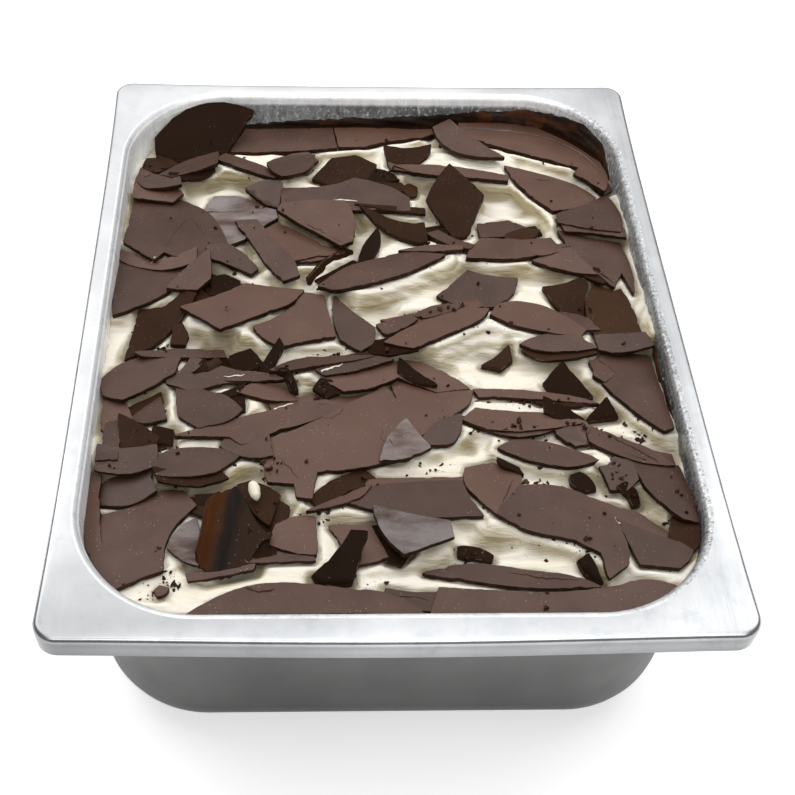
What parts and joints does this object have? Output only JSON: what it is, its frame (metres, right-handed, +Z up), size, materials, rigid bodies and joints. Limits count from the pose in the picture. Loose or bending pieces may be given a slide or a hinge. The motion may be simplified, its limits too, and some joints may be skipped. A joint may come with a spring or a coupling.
{
  "type": "gelato tub",
  "caption": "Rectangular steel display pan with rolled rim, filled with ridged white gelato and covered with broken dark chocolate shards.",
  "frame": {"origin": "on the table, under the middle of the rim", "axes": "+Z up, +Y along the pan's length towards its back, X across"},
  "size_m": [0.2676, 0.3298, 0.1],
  "materials": {
    "steel": "satin, lightly brushed",
    "gelato": "soft, slightly moist",
    "chocolate": "satin with a dusty bloom"
  },
  "bodies": {
    "root": {"pan": "steel", "gelato": "gelato", "shard_back_strip_left": "chocolate", "shard_back_strip_middle": "chocolate", "shard_back_strip_right": "chocolate", "shard_back_slat": "chocolate", "shard_back_left_slat": "chocolate", "shard_left_table": "chocolate", "shard_pale_flag": "chocolate", "shard_back_dark_kite": "chocolate", "shard_back_bent_tile": "chocolate", "shard_back_triangle": "chocolate", "shard_middle_back_table": "chocolate", "shard_crest_slat": "chocolate", "shard_right_back_table": "chocolate", "shard_right_back_tile": "chocolate", "shard_right_long_tile": "chocolate", "shard_dark_scoop": "chocolate", "shard_middle_right_table": "chocolate", "shard_dark_diamond": "chocolate", "shard_left_pocket_tile": "chocolate", "shard_middle_left_tile": "chocolate", "shard_left_diagonal_tile": "chocolate", "shard_left_lower_tile": "chocolate", "shard_left_wall_tile": "chocolate", "shard_left_dark_tile": "chocolate", "shard_middle_wedge": "chocolate", "shard_left_kite": "chocolate", "shard_middle_slip": "chocolate", "shard_centre_table": "chocolate", "shard_centre_dark_tile": "chocolate", "shard_right_dark_scoop": "chocolate", "shard_right_slab": "chocolate", "shard_mound_left_tile": "chocolate", "shard_mound_right_tile": "chocolate", "shard_black_triangle": "chocolate", "shard_right_front_table": "chocolate", "shard_front_slat": "chocolate", "shard_left_front_wall_tile": "chocolate", "shard_left_front_kite": "chocolate", "shard_left_front_band": "chocolate", "shard_centre_front_table": "chocolate", "shard_centre_front_tile": "chocolate", "shard_centre_front_ramp": "chocolate", "shard_front_crest_slat": "chocolate", "shard_front_right_slat": "chocolate", "shard_front_corner_tile": "chocolate", "shard_left_black_tile": "chocolate", "shard_left_front_slat": "chocolate", "shard_corner_table": "chocolate", "shard_curl_neighbour": "chocolate", "shard_front_band": "chocolate", "shard_front_flag": "chocolate", "shard_front_right_table": "chocolate", "shard_front_right_tile": "chocolate", "shard_front_pale_tile": "chocolate", "shard_front_wall_strip_left": "chocolate", "shard_front_wall_strip_right": "chocolate", "shard_standing": "chocolate", "shard_curl": "chocolate"}
  },
  "joints": []
}
